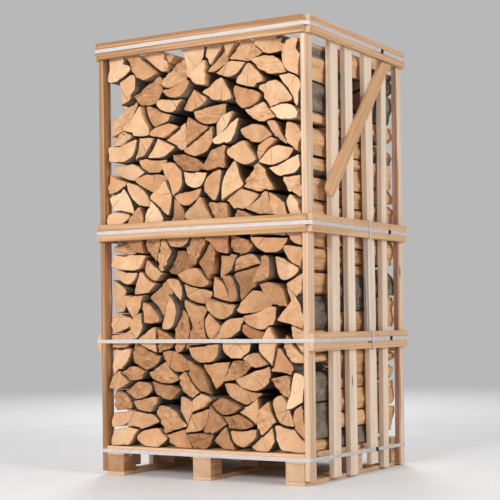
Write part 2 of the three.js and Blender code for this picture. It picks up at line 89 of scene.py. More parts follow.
class Field:
    """A number, vector or colour that varies over a surface. Arithmetic on it adds nodes."""

    def __init__(self, shader, socket):
        self.shader = shader
        self.socket = socket

    def __add__(self, other):
        return self.shader.maths("ADD", self, other)

    def __sub__(self, other):
        return self.shader.maths("SUBTRACT", self, other)

    def __mul__(self, other):
        return self.shader.maths("MULTIPLY", self, other)

    def __truediv__(self, other):
        return self.shader.maths("DIVIDE", self, other)

    def clamped(self):
        return self.shader.add("ShaderNodeClamp", {0: self})


class Shader:
    """A material's nodes. Colours that are given as three numbers are screen colours."""

    def __init__(self, name, **constants):
        self.material = bpy.data.materials.new(name)
        self.material.use_nodes = True
        self.tree = self.material.node_tree
        self.surface = self.tree.nodes["Principled BSDF"]
        for socket, value in constants.items():
            self.surface.inputs[socket.replace("_", " ")].default_value = value

    def join(self, value, socket):
        """Gives a socket a field, or a value that is the same all over the surface."""
        if isinstance(value, Field):
            self.tree.links.new(value.socket, socket)
        else:
            socket.default_value = value

    def add(self, kind, inputs, output=0, **settings):
        """Adds a node, and gives back one of its outputs."""
        node = self.tree.nodes.new(kind)
        for key, value in settings.items():
            setattr(node, key, value)
        for key, value in inputs.items():
            self.join(value, node.inputs[key])
        return Field(self, node.outputs[output])

    def attribute(self, name, output="Vector"):
        return self.add("ShaderNodeAttribute", {}, output, attribute_name=name)

    def parts(self, vector):
        node = self.add("ShaderNodeSeparateXYZ", {0: vector}).socket.node
        return [Field(self, output) for output in node.outputs]

    def vector(self, x, y, z):
        return self.add("ShaderNodeCombineXYZ", {0: x, 1: y, 2: z})

    def length(self, vector):
        return self.add("ShaderNodeVectorMath", {0: vector}, "Value", operation="LENGTH")

    def maths(self, operation, a, b=0.0):
        return self.add("ShaderNodeMath", {0: a, 1: b}, operation=operation)

    def scaled(self, vector, scale):
        """A vector times a scale for each axis."""
        return self.add("ShaderNodeVectorMath", {0: vector, 1: scale}, operation="MULTIPLY")

    def noise(self, place, scale=1.0, detail=3.0, roughness=0.55, distortion=0.0):
        """Soft clouds of values around 0.5. The scale is one number, or one for each axis."""
        if isinstance(scale, tuple):
            place, scale = self.scaled(place, scale), 1.0
        inputs = {"Vector": place, "Scale": scale, "Detail": detail}
        inputs |= {"Roughness": roughness, "Distortion": distortion}
        return self.add("ShaderNodeTexNoise", inputs)

    def edge_distance(self, value):
        """Distance to the nearest of a row of unevenly spaced points."""
        settings = {"voronoi_dimensions": "1D", "feature": "DISTANCE_TO_EDGE"}
        return self.add("ShaderNodeTexVoronoi", {"W": value, "Scale": 1.0}, **settings)

    def spots(self, place, scale):
        """Distance to the nearest of unevenly scattered points."""
        return self.add("ShaderNodeTexVoronoi", {"Vector": self.scaled(place, scale), "Scale": 1.0})

    def ramp(self, value, *stops):
        """Colours, or greys, at places along a value, which may lie outside 0 to 1."""
        low, high = stops[0][0], stops[-1][0]
        field = self.add("ShaderNodeValToRGB", {0: (value - low) / (high - low)})
        elements = field.socket.node.color_ramp.elements
        while len(elements) < len(stops):
            elements.new(0.5)
        for element, (place, colour) in zip(elements, stops):
            element.position = (place - low) / (high - low)
            element.color = srgb(*colour) if isinstance(colour, tuple) else (colour,) * 3 + (1,)
        return field

    def mix(self, share, a, b, blend="MIX"):
        inputs = {0: share, 6: a, 7: srgb(*b) if isinstance(b, tuple) else b}
        return self.add("ShaderNodeMix", inputs, 2, data_type="RGBA", blend_type=blend)

    def finish(self, colour, roughness, height, depth):
        """Joins up the surface. depth is the height map's depth in metres."""
        bump = self.add("ShaderNodeBump", {"Height": height, "Distance": depth})
        for field, socket in ((colour, "Base Color"), (roughness, "Roughness"), (bump, "Normal")):
            self.join(field, self.surface.inputs[socket])
        return self.material


def spruce(name, specular):
    """The start of a spruce material: its grain, which runs along the board, the board's tone,
    and the distance from the pith that the board's grain coordinates place."""
    shader = Shader(name, Specular_IOR_Level=specular)
    grain = shader.attribute("grain")
    _, across, through = shader.parts(grain)
    tone = shader.parts(shader.attribute("tone"))[0]
    return shader, grain, tone, shader.length(shader.vector(across, through, 0.0))


def softwood(name, pale, deep, streak, soil):
    """A sawn face: growth rings, streaks, knots, dirt, and bark where the edge is waney; the same bark
    colour is painted shade on the shaded edges of two posts.
    """
    RINGS = 300  # a metre
    shader, grain, tone, radius = spruce(name, 0.3)
    wobble = shader.noise(grain, (1.4, 9, 9), detail=2)
    ring = shader.maths("FRACT", (wobble * 0.03 + radius) * RINGS)
    late = shader.ramp(ring, (0.0, 0.0), (0.55, 0.25), (0.86, 1.0), (0.97, 0.1))

    streaks = shader.noise(grain, (1.1, 75, 75), detail=5, roughness=0.6)
    clouds = shader.noise(grain, (2.2, 13, 13))
    fibres = shader.noise(grain, (22, 900, 900), roughness=0.7)
    saw = shader.noise(grain, (420, 9, 9), detail=2)
    knot = ((clouds * 0.05 + 0.075 - shader.spots(grain, (2.6, 11, 4))) * 26).clamped()

    depth = streaks * 1.1 + late * 0.22 + tone * 0.45
    colour = shader.ramp(depth, (0.5, pale), (0.9, deep), (1.12, streak))
    dirt = shader.ramp(clouds, (0.5, 0.0), (0.78, 0.55))
    colour = shader.mix(dirt, colour, soil, "MULTIPLY")
    colour = shader.mix(knot * 0.8, colour, (118, 70, 38))
    # Bark colour where an edge is waney; on the rear right and front left posts it is painted shade.
    bark = shader.ramp(clouds * 0.9 + shader.attribute("wane_and_shade", "Fac"), (0.92, 0.0), (1.02, 1.0))
    bark_colour = shader.ramp(streaks, (0.35, (146, 102, 82)), (0.62, (196, 152, 128)))
    colour = shader.mix(bark, colour, bark_colour)
    height = fibres * 0.5 + saw * 0.3 + late * 0.15
    return shader.finish(colour, streaks * 0.25 + 0.6, height, 0.5 * MM)


def softwood_end():
    """The sawn end of a board: growth rings and fine saw marks."""
    RINGS = 260  # a metre
    shader, grain, tone, radius = spruce("spruce_end", 0.25)
    clouds = shader.noise(grain, 24)
    ring = shader.maths("FRACT", (clouds * 0.012 + radius) * RINGS)
    late = shader.ramp(ring, (0.0, 0.0), (0.6, 0.3), (0.9, 1.0), (0.98, 0.1))
    saw = shader.noise(grain, (1, 60, 700), detail=2)
    depth = late * 0.4 + clouds * 0.6 + tone * 0.3
    stops = (0.3, (208, 176, 146)), (0.7, (190, 152, 118)), (1.1, (156, 114, 80))
    height = saw * 0.6 + late * 0.3
    return shader.finish(shader.ramp(depth, *stops), clouds * 0.2 + 0.7, height, 0.4 * MM)


PAINTED_STACK_SHADE = (58, 38, 26)  # painted shade on the faces that lie inside the stack, where the gaps between logs fall dark


def beech(name):
    """The start of a beech material: its grain moved by a random amount for each log, the log's
    tones, and that amount."""
    shader = Shader(name, Specular_IOR_Level=0.25)
    tone = shader.parts(shader.attribute("tone"))
    seed = tone[2] * 40
    moved = {0: shader.attribute("grain"), 1: seed}
    return shader, shader.add("ShaderNodeVectorMath", moved, operation="ADD"), tone, seed


def beech_end():
    """A sawn end: faint growth rings and rays around the pith, drying cracks, and a dark rim:
    the bark's own colour where the bark is, and painted shade of the gaps between logs elsewhere."""
    shader, place, tone, seed = beech("beech_sawn_end")
    x, _, z = shader.parts(shader.attribute("grain"))
    radius = shader.length(shader.vector(x, z, 0.0))
    angle = shader.maths("ARCTAN2", z, x)
    clouds = shader.noise(place, 17, detail=4, roughness=0.6, distortion=0.4)
    turned = shader.vector(angle * 15, radius * 34, seed)
    rays = shader.noise(turned, detail=4, roughness=0.65)
    ring = shader.maths("SINE", (clouds * 2.2 + radius * 430) * 2) * 0.5 + 0.5
    saw = shader.noise(place, (900, 1, 60), detail=2)

    from_crack = shader.edge_distance(angle * 1.3 + seed) * (radius * 0.77)
    opening = shader.noise(turned, 0.22, detail=2)
    crack = (((opening - 0.5) * (7.5 * MM) - from_crack) * 1800).clamped()

    depth = clouds * 0.7 + rays * 0.6 + ring * 0.05 + (tone[0] * 0.6 - 0.26)
    colour = shader.ramp(
        depth, (0.3, (226, 190, 152)), (0.56, (212, 169, 130)),
        (0.82, (192, 145, 105)), (1.2, (140, 96, 62)),
    )
    reddened = shader.ramp(tone[1], (0.6, 0.0), (1.0, 0.3))
    colour = shader.mix(reddened, colour, (198, 132, 86))
    colour = shader.mix(crack, colour, (74, 42, 22))
    # Dark rim: the bark's own colour where there is bark, and painted shade of the gaps between logs at
    # bare edges.
    rim = clouds * 0.5 + shader.attribute("rim", "Fac")
    colour = shader.mix(shader.ramp(rim, (0.4, 0.0), (0.62, 0.6), (0.8, 1.0)), colour, (74, 52, 38))
    height = rays * 0.5 + saw * 0.5 - crack * 1.6
    return shader.finish(colour, clouds * 0.2 + 0.7, height, 0.7 * MM)


def beech_split():
    """A split face: torn fibres along the log, in long pale and reddish streaks."""
    shader, place, tone, _ = beech("beech_split_face")
    streaks = shader.noise(place, (70, 5, 70), detail=5, roughness=0.62)
    clouds = shader.noise(place, (9, 4, 9), distortion=0.5)
    fibres = shader.noise(place, (520, 18, 520), detail=4, roughness=0.7)
    depth = streaks * 1.1 + clouds * 0.6 + (tone[0] * 0.45 - 0.28)
    colour = shader.ramp(
        depth, (0.42, (226, 184, 142)), (0.7, (208, 161, 116)),
        (0.94, (182, 132, 90)), (1.3, (110, 73, 47)),
    )
    # Painted shade: split faces inside the stack darken towards this colour with depth behind the end.
    colour = shader.mix(shader.attribute("inside", "Fac"), colour, PAINTED_STACK_SHADE)
    return shader.finish(colour, fibres * 0.2 + 0.68, streaks * 1.5 + fibres * 0.6, 1.4 * MM)


def beech_torn():
    """A torn end: coarse fibres that lie across the end, with dark clefts between them."""
    shader, place, tone, seed = beech("beech_torn_end")
    x, _, z = shader.parts(place)
    cosine, sine = shader.maths("COSINE", seed), shader.maths("SINE", seed)
    along = x * cosine + z * sine
    across = z * cosine - x * sine
    fibres = shader.noise(shader.vector(along * 26, across * 170, seed), detail=5, roughness=0.6)
    depth = fibres * 0.8 + shader.noise(place, 30) * 0.4 + (tone[0] * 0.5 - 0.25)
    colour = shader.ramp(
        depth, (0.3, (222, 182, 142)), (0.55, (200, 154, 112)),
        (0.78, (174, 126, 87)), (1.15, (100, 65, 43)),
    )
    return shader.finish(colour, fibres * 0.2 + 0.7, fibres, 3 * MM)


def beech_bark():
    """Smooth grey beech bark, with pale lichen, a greenish film and short cross marks."""
    shader, place, tone, _ = beech("beech_bark")
    clouds = shader.noise(place, (22, 9, 22), detail=5, roughness=0.65)
    marks = shader.noise(place, (35, 260, 35))
    lichen = shader.noise(place, (46, 30, 46), detail=4, roughness=0.7)
    pits = shader.noise(place, 330, roughness=0.7)
    stops = (0.32, (72, 61, 51)), (0.5, (110, 97, 84)), (0.68, (142, 128, 113))
    colour = shader.ramp(clouds + tone[1] * 0.12, *stops)
    film = shader.ramp(tone[0], (0.5, 0.0), (1.0, 0.2))
    colour = shader.mix(film, colour, (118, 114, 96))
    colour = shader.mix(shader.ramp(lichen, (0.6, 0.0), (0.7, 0.7)), colour, (170, 162, 148))
    colour = shader.mix(shader.ramp(marks, (0.6, 0.0), (0.68, 0.6)), colour, (60, 52, 45))
    # Painted shade, at less strength: bark inside the stack darkens with depth behind the end.
    colour = shader.mix(shader.attribute("inside", "Fac") * 0.4, colour, PAINTED_STACK_SHADE)
    height = clouds * 0.8 + pits * 0.5 - marks * 0.4
    return shader.finish(colour, clouds * 0.2 + 0.75, height, 1.2 * MM)


def webbing():
    """Woven white polyester strapping: cords along it and a fine weave across them."""
    CORD, WEAVE = 1.1 * MM, 1.6 * MM  # from one cord, and one cross thread, to the next
    shader = Shader("woven_strapping", Specular_IOR_Level=0.4, Sheen_Weight=0.25)
    grain = shader.attribute("grain")
    along, across, _ = shader.parts(grain)
    cords = shader.maths("SINE", across * (2 * math.pi / CORD))
    weave = shader.maths("SINE", along * (2 * math.pi / WEAVE))
    dirt = shader.noise(grain, (16, 60, 60), detail=4, roughness=0.6)
    threads = shader.noise(grain, (60, 900, 900), detail=2)
    stops = (0.36, (206, 199, 196)), (0.64, (194, 186, 182)), (0.85, (170, 158, 152))
    height = cords + weave * 0.35 + threads * 0.8
    return shader.finish(shader.ramp(dirt, *stops), dirt * 0.25 + 0.36, height, 0.12 * MM)


def steel(name, colour, worn, metallic):
    """Nail and buckle steel: a coat that has rubbed off in places."""
    shader = Shader(name, Metallic=metallic)
    place = shader.add("ShaderNodeTexCoord", {}, "Object")
    wear = shader.noise(place, 420, detail=4, roughness=0.65)
    fine = shader.noise(place, 2400, detail=2)
    surface = shader.ramp(wear, (0.5, colour), (0.68, worn))
    return shader.finish(surface, wear * 0.4 + 0.25, fine, 0.08 * MM)


def studio_floor():
    """Pale floor that turns into the backdrop's own light far from the object."""
    NEAR, FAR = 4.0, 9.0
    shader = Shader("studio_floor", Roughness=0.6, Specular_IOR_Level=0.2)
    place = shader.add("ShaderNodeTexCoord", {}, "Object")
    share = ((shader.length(place) - NEAR) / (FAR - NEAR)).clamped()
    paint = shader.ramp(shader.noise(place, 3, detail=4), (0.3, (226, 226, 227)), (0.7, (231, 231, 231)))
    shader.join(paint, shader.surface.inputs["Base Color"])
    glow = shader.add("ShaderNodeEmission", {"Color": BACKDROP, "Strength": 1.0})
    inputs = {0: share, 1: Field(shader, shader.surface.outputs[0]), 2: glow}
    mixed = shader.add("ShaderNodeMixShader", inputs)
    shader.join(mixed, shader.tree.nodes["Material Output"].inputs["Surface"])
    return shader.material


PALE_BOARD = softwood("pale_spruce", (230, 212, 192), (220, 194, 168), (192, 156, 124), (228, 218, 208))
TAN_BOARD = softwood("tan_spruce", (216, 178, 142), (194, 152, 112), (152, 110, 74), (206, 190, 174))
BRACE_BOARD = softwood("brace_spruce", (212, 170, 130), (192, 146, 104), (156, 108, 70), (204, 188, 168))
PALLET_WOOD = softwood("pallet_spruce", (220, 184, 150), (196, 152, 114), (154, 110, 74), (186, 168, 148))
SPRUCE_END = softwood_end()
BEECH = [beech_end(), beech_split(), beech_bark(), beech_torn()]
SAWN, SPLIT, BARK, TORN = range(4)
STRAPPING = webbing()
BUCKLE_WIRE = steel("buckle_wire", (24, 24, 26), (70, 68, 66), 0.6)
NAIL_STEEL = steel("nail_steel", (112, 96, 82), (150, 130, 112), 0.4)


# Meshes

KINDS = {1: ("FLOAT", "value"), 3: ("FLOAT_VECTOR", "vector"), 4: ("FLOAT_COLOR", "color")}


def placed(name, data):
    """A new object with this data, in the scene."""
    made = bpy.data.objects.new(name, data)
    bpy.context.scene.collection.objects.link(made)
    return made


def make_piece(name, verts, faces, materials, indices=0, node=None, slot=None, **values):
    """An object of this mesh that rides on the frame and stands for a node, where one is given.
    indices are its faces' materials, and values its point attributes."""
    SHARP = math.radians(35)
    mesh = bpy.data.meshes.new(name)
    mesh.from_pydata(verts, [], faces)
    for material in materials:
        mesh.materials.append(material)
    mesh.polygons.foreach_set("material_index", np.full(len(faces), indices, np.int32))
    for key, rows in values.items():
        rows = np.asarray(rows, np.float32)
        kind, field = KINDS[rows[0].size]
        mesh.attributes.new(key, kind, "POINT").data.foreach_set(field, rows.ravel())
    mesh.shade_smooth()
    mesh.set_sharp_from_angle(angle=SHARP)
    mesh.update()
    piece = placed(name, mesh)
    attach(piece, "root")
    if node:
        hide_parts(node)


class Joined:
    """Parts that become one piece."""

    def __init__(self):
        self.verts, self.faces, self.indices, self.values = [], [], [], {}

    def add(self, verts, faces, indices=0, **values):
        start = sum(map(len, self.verts))
        self.verts.append(verts)
        self.faces += [tuple(start + corner for corner in face) for face in faces]
        self.indices.append(np.full(len(faces), indices))
        for key, rows in values.items():
            self.values.setdefault(key, []).append(rows)

    def make(self, name, materials, node=None, slot=None):
        values = {key: np.concatenate(parts) for key, parts in self.values.items()}
        verts, indices = np.concatenate(self.verts), np.concatenate(self.indices)
        make_piece(name, verts, self.faces, materials, indices, node, slot, **values)


def extent(bm, axis):
    places = [vert.co.dot(axis) for vert in bm.verts]
    return min(places), max(places)


def board_axes(bm):
    """The directions along, across and through a board, from its edges."""
    edges = sorted(bm.edges, key=lambda edge: -edge.calc_length())
    ways = [(edge.verts[1].co - edge.verts[0].co).normalized() for edge in edges]
    along = ways[0]
    square = next(way for way in ways if abs(way.dot(along)) < 0.01)
    across, through = sorted((square, along.cross(square)), key=lambda way: -np.ptp(extent(bm, way)))
    return along, across, through


WANES_AND_SHADE = {
    # board: (side the waned edge is on, way it faces, spread on either face, height from and to)
    # painted shade, drawn as bark colour: the rear post's front edge, in the pile's shadow
    "post_rear_right": ((0, -1, 0), (1, 0, 0), 34 * MM, 90 * MM, 0.0, 2.1),
    "slat_right_3": ((0, -1, 0), (1, 0, 0), 5 * MM, 8 * MM, 0.1, 1.3),
    "slat_right_4": ((0, -1, 0), (1, 0, 0), 6 * MM, 9 * MM, 0.5, 1.9),
    "slat_left_2": ((0, 1, 0), (-1, 0, 0), 9 * MM, 12 * MM, 0.2, 1.4),
    "block_front_left": ((1, 0, 0), (0, 0, 1), 30 * MM, 22 * MM, 0.0, 0.2),
    # painted shade, drawn as bark colour: the left post's inner side, in its crevice by the logs
    "post_front_left": ((1, 0, 0), (0, 1, 0), 25 * MM, 90 * MM, 0.62, 1.12),
}
TONES_AND_SHADE = {  # boards whose tone, 0 pale to 1 dark, shows in the photograph: partly their own tone, partly painted shade where the light falls off, most on the left post and the left block
    "rail_top_front": 1.0, "rail_middle_front": 0.75, "rail_top_right": 0.3, "rail_middle_right": 0.2,
    "post_front_left": 1.1, "post_front_right": 0.85, "post_rear_right": 0.6, "block_front_left": 1.8,
    "block_front_middle": 0.7, "block_front_right": 0.5,
}


def cut_board(node):
    """A board's mesh, chamfered and cut into short lengths, and its axes."""
    CHAMFER = 1.0 * MM
    LENGTH_STEP = 45 * MM
    WIDTH_CUTS = (0.12, 0.37, 0.63, 0.88)
    bm = bmesh.new()
    bm.from_mesh(nodes[node].data)
    bmesh.ops.remove_doubles(bm, verts=bm.verts, dist=0.01 * MM)
    bmesh.ops.dissolve_limit(bm, angle_limit=math.radians(1), verts=bm.verts, edges=bm.edges)
    axes = board_axes(bm)
    along, across, _ = axes
    bmesh.ops.bevel(bm, geom=bm.edges[:], offset=CHAMFER, segments=1, affect="EDGES", profile=0.5)
    low, high = extent(bm, along)
    pieces = max(2, round((high - low) / LENGTH_STEP))
    cuts = [(along, low + (high - low) * i / pieces) for i in range(1, pieces)]
    low, high = extent(bm, across)
    cuts += [(across, low + (high - low) * share) for share in WIDTH_CUTS]
    for axis, place in cuts:
        geometry = bm.verts[:] + bm.edges[:] + bm.faces[:]
        bmesh.ops.bisect_plane(bm, geom=geometry, dist=1e-6, plane_co=axis * place, plane_no=axis)
    bm.normal_update()
    return bm, axes


def wane_and_shade_weights(bm, node, along, seed):
    """How far each vertex lies in the board's waned edge, or in its edge of painted shade, from 0 to 1.
    """
    if node not in WANES_AND_SHADE:
        return [0.0] * len(bm.verts)
    side_way, deep_way, side_spread, deep_spread, low, high = WANES_AND_SHADE[node]
    side_way, deep_way = Vector(side_way), Vector(deep_way)
    side_end, deep_end = extent(bm, side_way)[1], extent(bm, deep_way)[1]
    weights = []
    for vert in bm.verts:
        ragged = 1 + 0.5 * noise.noise(Vector((vert.co.dot(along) * 5, 0, 0)) + seed * 2)
        side = (side_end - vert.co.dot(side_way)) / side_spread
        deep = (deep_end - vert.co.dot(deep_way)) / deep_spread
        weight = max(0.0, 1 - (side + deep) / ragged)
        weights.append(weight if low < vert.co.z < high else 0.0)
    return weights


def make_board(node, material, slot):
    """A board or block from its solid, worn a little, with bark on its edge where it is waney, and the
    same bark colour as painted shade on the shaded edges of two posts.
    """
    WEAR = 0.25 * MM
    WANE_DEPTH = 3 * MM
    rng = random.Random(node)
    bm, axes = cut_board(node)
    seed = Vector([rng.uniform(-9, 9) for _ in range(3)])
    pith = rng.uniform(0.03, 0.11) * rng.choice((-1, 1))
    start = rng.uniform(0, 50)
    waned = wane_and_shade_weights(bm, node, axes[0], seed)
    grain, moves = [], []
    for vert, weight in zip(bm.verts, waned):
        a, b, c = (vert.co.dot(axis) for axis in axes)
        roughness = noise.noise(Vector((a * 7, b * 40, c * 40)) + seed)
        lumps = 1 + noise.noise(Vector((a * 22, b * 60, 0)) + seed)
        inwards = WEAR * (1 + roughness) + weight ** 2 * WANE_DEPTH * lumps
        moves.append(-vert.normal * inwards)
        grain.append((a + start, b + pith, c + 0.4 * pith))
    for vert, move in zip(bm.verts, moves):
        vert.co += move
    verts = [tuple(vert.co) for vert in bm.verts]
    faces = [[vert.index for vert in face.verts] for face in bm.faces]
    indices = [int(abs(face.normal.dot(axes[0])) > 0.9) for face in bm.faces]
    bm.free()
    tone = [(TONES_AND_SHADE.get(node, 0.35 * rng.random()), rng.random(), rng.random(), 1)] * len(verts)
    values = {"grain": grain, "tone": tone, "wane_and_shade": waned}
    make_piece(f"wood_{node}", verts, faces, [material, SPRUCE_END], indices, node, slot, **values)


def make_boards():
    finishes = [
        (("runner_", "block_", "stringer_", "deck_board_"), PALLET_WOOD, "pallet_wood"),
        # The left post gets the darker tan wood as painted shade: the light falls off towards it.
        (("post_front_left",), TAN_BOARD, "pale_board"),
        (("post_", "slat_"), PALE_BOARD, "pale_board"),
        (("rail_",), TAN_BOARD, "tan_board"),
        (("brace_",), BRACE_BOARD, "brace_board"),
    ]
    for node in sorted(nodes):
        found = [finish for starts, *finish in finishes if node.startswith(starts)]
        if found:
            make_board(node, *found[0])


# Firewood

AROUND = 36  # points around a log
STATIONS = (0.0, 0.05, 0.14, 0.27, 0.41, 0.56, 0.71, 0.86, 1.0)  # rings of points along it
CAP_SHARES = (0.76, 0.5, 0.24)  # rings of the end face, as shares of its outline
SOFT_TURN = math.radians(60)  # corners that turn less are on a round, barked side
FURTHEST = abs(FRONT) - 1.2 * MM  # a log reaches up to this distance in front or at the rear
PILE_SIDE = 0.42  # the logs beyond this X, left or right, show their sides
PILE_TOP = 1.988
LOW_PLACES = ((-0.195, -0.12, 1.949), (0.395, math.inf, 1.953))  # left, right and height
HOLE_RIGHT, HOLE_BOTTOM, HOLE_TOP = -0.46, 1.697, 1.865  # in front, at the pile's left side


def pile_top(x):
    """Height of the pile's top at each x: it lies lower in two places."""
    tops = np.full(np.shape(x), PILE_TOP)
    for left, right, height in LOW_PLACES:
        tops = np.where((x > left) & (x < right), height, tops)
    return tops


def right_of(ways):
    """Unit vectors to the right of each way, which point out of an anticlockwise outline."""
    return np.column_stack([ways[:, 1], -ways[:, 0]]) / np.hypot(*ways.T)[:, None]


def turns(outline):
    """How much the outline turns at each corner."""
    before = outline - np.roll(outline, 1, 0)
    after = np.roll(outline, -1, 0) - outline
    cross = before[:, 0] * after[:, 1] - before[:, 1] * after[:, 0]
    return np.arctan2(cross, (before * after).sum(1))


def joined_faces(faces):
    """Groups of faces that share edges."""
    left = set(faces)
    for first in faces:
        if first not in left:
            continue
        left.remove(first)
        group = [first]
        for face in group:
            for other in (f for edge in face.edges for f in edge.link_faces):
                if other in left:
                    left.remove(other)
                    group.append(other)
        yield group


def end_outlines(node, outward):
    """The log ends on a row's outer face: (outline in X and Z, anticlockwise from the front, Y)."""
    BODY_FACE = abs(FRONT) - 63 * MM  # just outside the body of the row
    FLAT = math.radians(2)
    bm = bmesh.new()
    bm.from_mesh(nodes[node].data)
    bmesh.ops.remove_doubles(bm, verts=bm.verts, dist=0.02 * MM)
    bm.normal_update()
    ends = [
        face for face in bm.faces
        if face.normal.y * outward > 0.999 and face.calc_center_median().y * outward > BODY_FACE
    ]
    found = []
    for group in joined_faces(ends):
        border = {}
        for loop in (loop for face in group for loop in face.loops):
            if not any(f in group for f in loop.edge.link_faces if f is not loop.face):
                border[loop.vert] = loop.link_loop_next.vert
        corner = next(iter(border))
        depth = corner.co.y
        outline = []
        for _ in border:
            outline.append((corner.co.x, corner.co.z))
            corner = border[corner]
        outline = np.array(outline)[::-1 if outward > 0 else 1]
        found.append((outline[np.abs(turns(outline)) > FLAT], depth))
    bm.free()
    found.sort(key=lambda item: tuple(np.round(item[0].mean(0), 5)))
    return found


def barked_side(outline):
    """Which sides of an outline (from each corner to the next) are the round outside of the
    trunk, and where the trunk's pith was."""
    EVEN = 0.7  # the shortest of a round's sides is more than this share of its longest
    PITH_AWAY = (0.05, -0.04)  # from the middle of a log without a round side
    count = len(outline)
    soft = turns(outline) < SOFT_TURN
    lengths = np.hypot(*(np.roll(outline, -1, 0) - outline).T)
    best = []
    for start in np.flatnonzero(~soft):
        sides = [start]
        while soft[(sides[-1] + 1) % count] and len(sides) < count:
            sides.append((sides[-1] + 1) % count)
        is_even = lengths[sides].min() > EVEN * lengths[sides].max()
        if is_even and len(sides) > max(1, len(best)):
            best = sides
    barked = np.zeros(count, bool)
    if not best:
        return barked, outline.mean(0) + PITH_AWAY
    barked[best] = True
    x, z = outline[[*best, (best[-1] + 1) % count]].T
    equations = np.column_stack([2 * x, 2 * z, np.ones(len(x))])
    return barked, np.linalg.lstsq(equations, x * x + z * z, rcond=None)[0][:2]


def rounded(outline, barked):
    """The outline with its soft corners drawn as one curve, and whether each side of the result
    is on bark."""
    places, flags = [], []
    count = len(outline)
    soft = turns(outline) < SOFT_TURN
    for i, corner in enumerate(outline):
        if not soft[i]:
            places.append(corner)
            flags.append(barked[i])
            continue
        before = (outline[i - 1] - corner) / 2
        after = (outline[(i + 1) % count] - corner) / 2
        for t in np.linspace(0.0, 1.0, 6)[:-1]:
            places.append(corner + before * (1 - t) ** 2 + after * t ** 2)
            flags.append(barked[i - 1] if t < 0.5 else barked[i])
    return np.array(places), np.array(flags)


def spaced(points, flags):
    """The outline through these points again as AROUND points, closer together at its corners."""
    BY_LENGTH = 0.55  # share of the points that are spread by length, the others by how it bends
    lengths = np.hypot(*(np.roll(points, -1, 0) - points).T)
    bends = np.abs(turns(points))
    bent = (bends + np.roll(bends, -1)) / (2 * bends.sum())
    weights = BY_LENGTH * lengths / lengths.sum() + (1 - BY_LENGTH) * bent
    reached = np.concatenate([[0.0], np.cumsum(weights)])
    wanted = np.linspace(0, reached[-1], AROUND, endpoint=False)
    at = np.clip(np.searchsorted(reached, wanted, side="right") - 1, 0, len(points) - 1)
    share = ((wanted - reached[at]) / weights[at])[:, None]
    result = points[at] * (1 - share) + np.roll(points, -1, 0)[at] * share
    return result, flags[at] | flags[(at + 1) % len(points)]


def widened(outline, low):
    """The outline of a log near the left side of the crate, stretched until it reaches it."""
    NEAR = 55 * MM
    CLEAR = 1 * MM
    centre = outline.mean(0)
    left = outline[:, 0].min()
    if left > low.x + NEAR or HOLE_BOTTOM < centre[1] < HOLE_TOP:
        return outline
    share = (centre[0] - low.x - CLEAR) / (centre[0] - left)
    x = outline[:, 0]
    x = np.where(x < centre[0], centre[0] + (x - centre[0]) * share, x)
    return np.column_stack([x, outline[:, 1]])


class LogEnd:
    """A log's end as a row's solid has it, before it is grown."""

    def __init__(self, outline, y):
        self.outline, self.y = outline, y
        self.low, self.high, self.centre = outline.min(0), outline.max(0), outline.mean(0)
        barked, self.pith = barked_side(outline)
        smooth, self.flags = rounded(outline, barked)
        self.normals = right_of(np.roll(smooth, -1, 0) - smooth)
        self.limits = (self.normals * smooth).sum(1)

    def beyond(self, places):
        """How far places lie beyond each side of the end."""
        return places @ self.normals.T - self.limits

    def is_near(self, other):
        NEAR = 40 * MM
        return (self.low < other.high + NEAR).all() and (self.high > other.low - NEAR).all()


def crowned(rng):
    """How far the bare outside of a log falls away from its highest point, as a round of bark or
    as a ridge between two split faces, and whether it is a round."""
    if rng.random() < 0.5:
        radius = rng.uniform(44, 90) * MM
        return lambda away: radius - np.sqrt(np.maximum(radius ** 2 - away ** 2, 0)), True
    slope = rng.uniform(0.2, 0.5)
    return lambda away: slope * np.abs(away), False


